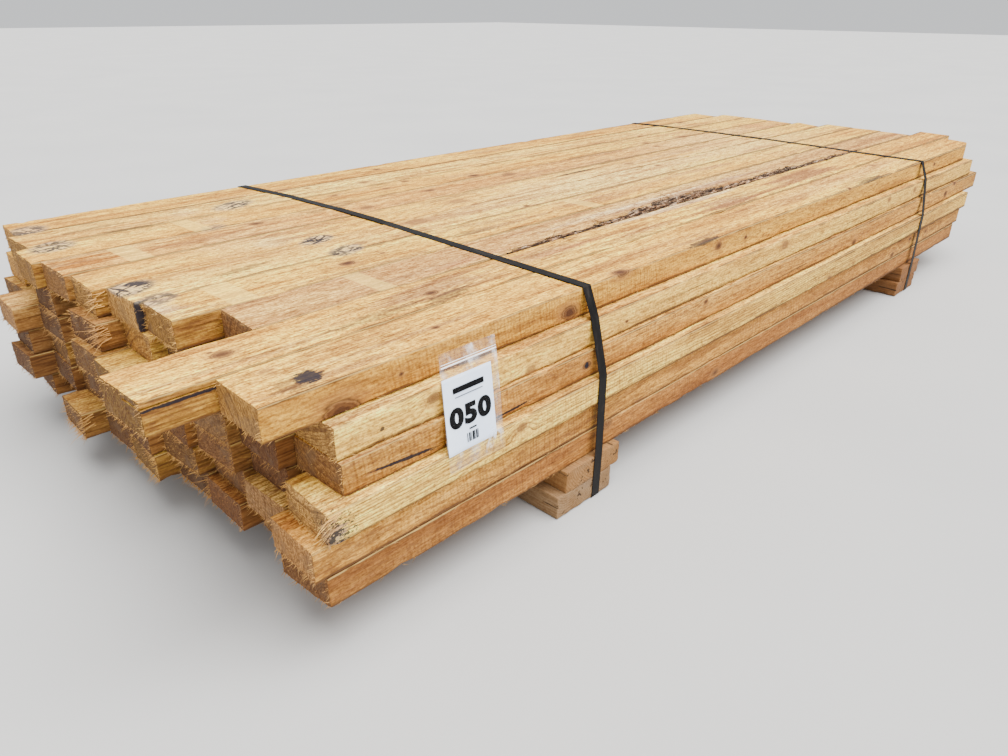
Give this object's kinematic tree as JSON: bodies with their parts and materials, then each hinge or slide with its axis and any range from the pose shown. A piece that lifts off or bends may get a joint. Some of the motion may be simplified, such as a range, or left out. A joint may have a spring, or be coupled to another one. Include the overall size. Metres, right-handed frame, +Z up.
{
  "type": "strapped stack of cedar two-by-fours",
  "caption": "Rough-sawn cedar boards laid flat in layers on paired cross bearers, bound with two flat black straps, with a card in a clear pouch on the front.",
  "frame": {"origin": "centre of the underside of the whole stack, on the floor that it rests on", "axes": "+X along the boards from the staggered near ends to the far ends, +Y from the front face with the pouch to the back, +Z up"},
  "size_m": [2.798, 1.0852, 0.3641],
  "materials": {
    "cedar": "rough-sawn, bare",
    "bearer_wood": "rough-sawn, lightly weathered",
    "strap": "flat black strapping, faint sheen",
    "pouch": "clear film",
    "card": "white printed card"
  },
  "bodies": {
    "root": {"board_layer_1": "cedar", "board_layer_2": "cedar", "board_layer_3": "cedar", "board_layer_4": "cedar", "board_layer_5": "cedar", "board_layer_6": "cedar", "near_lower_bearer": "bearer_wood", "near_upper_bearer": "bearer_wood", "far_lower_bearer": "bearer_wood", "far_upper_bearer": "bearer_wood", "near_strap": "strap", "far_strap": "strap", "tag_pouch": "pouch", "tag_card": "card"}
  },
  "joints": []
}
